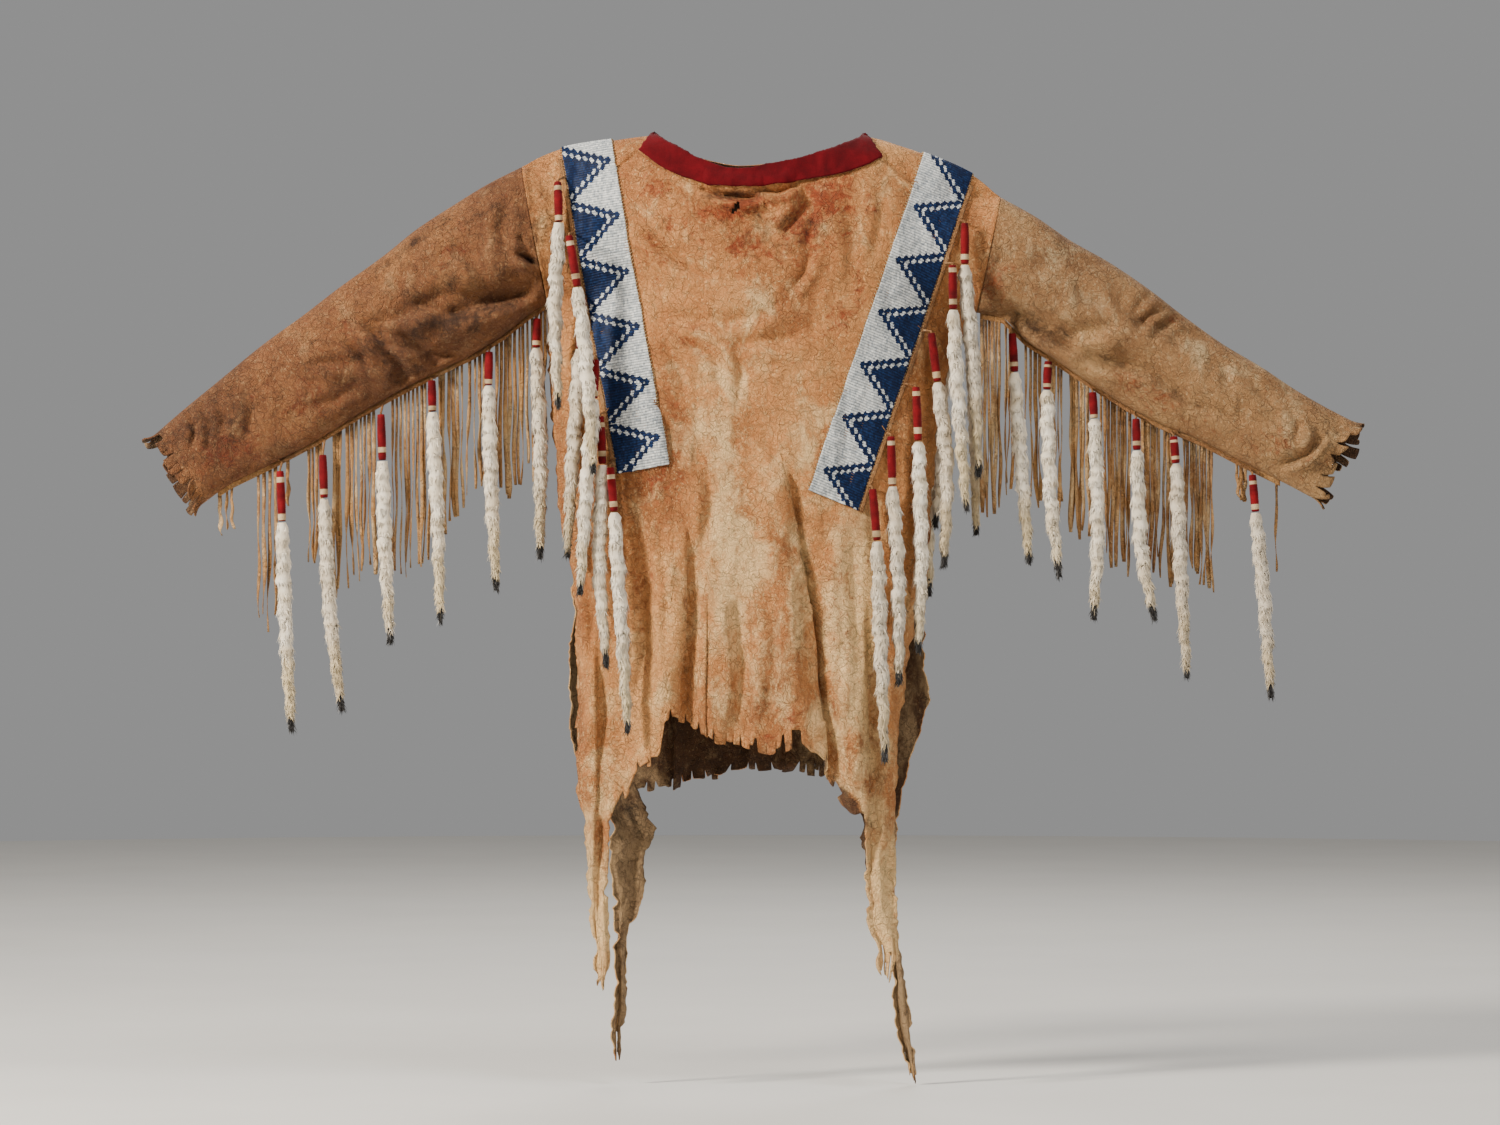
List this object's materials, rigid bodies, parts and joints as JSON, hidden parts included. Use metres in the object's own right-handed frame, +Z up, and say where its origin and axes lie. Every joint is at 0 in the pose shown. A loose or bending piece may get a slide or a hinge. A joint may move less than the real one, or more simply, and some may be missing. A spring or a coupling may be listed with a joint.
{
  "type": "hide war shirt",
  "caption": "Fringed hide shirt filled out and held at the shoulders, with open sleeves, beaded strips, a red wool neck band and hanging white fur drops.",
  "frame": {"origin": "midway between the shoulders, on the shoulder line that the wearer holds up, between front and back", "axes": "+X along the sleeves to the sleeve on the right as seen from the front, +Y from front to back, +Z up"},
  "size_m": [1.6704, 0.2065, 1.288],
  "materials": {
    "hide": "mottled smoked hide, matt",
    "wool": "felted trade wool",
    "beads": "small opaque glass beads, white and navy",
    "thong": "cut hide thongs",
    "wrap": "red wrapping with cream bands on tan edging",
    "fur": "white winter fur with black tips"
  },
  "bodies": {
    "root": {"front_panel": "hide", "back_panel": "hide", "sleeve_left": "hide", "sleeve_right": "hide", "neck_band": "wool", "beaded_strip_left": "beads", "beaded_strip_right": "beads", "fringe_sleeve_left": "thong", "fringe_sleeve_right": "thong", "heads_front_left": "wrap", "heads_front_right": "wrap", "heads_back_left": "wrap", "heads_back_right": "wrap", "heads_sleeve_left": "wrap", "heads_sleeve_right": "wrap", "fur_front_left_1": "fur", "fur_front_left_2": "fur", "fur_front_left_3": "fur", "fur_front_left_4": "fur", "fur_front_left_5": "fur", "fur_front_left_6": "fur", "fur_front_right_1": "fur", "fur_front_right_2": "fur", "fur_front_right_3": "fur", "fur_front_right_4": "fur", "fur_front_right_5": "fur", "fur_front_right_6": "fur", "fur_back_left_1": "fur", "fur_back_left_2": "fur", "fur_back_left_3": "fur", "fur_back_left_4": "fur", "fur_back_left_5": "fur", "fur_back_left_6": "fur", "fur_back_right_1": "fur", "fur_back_right_2": "fur", "fur_back_right_3": "fur", "fur_back_right_4": "fur", "fur_back_right_5": "fur", "fur_back_right_6": "fur", "fur_sleeve_left_1": "fur", "fur_sleeve_left_2": "fur", "fur_sleeve_left_3": "fur", "fur_sleeve_left_4": "fur", "fur_sleeve_left_5": "fur", "fur_sleeve_left_6": "fur", "fur_sleeve_right_1": "fur", "fur_sleeve_right_2": "fur", "fur_sleeve_right_3": "fur", "fur_sleeve_right_4": "fur", "fur_sleeve_right_5": "fur", "fur_sleeve_right_6": "fur"}
  },
  "joints": []
}
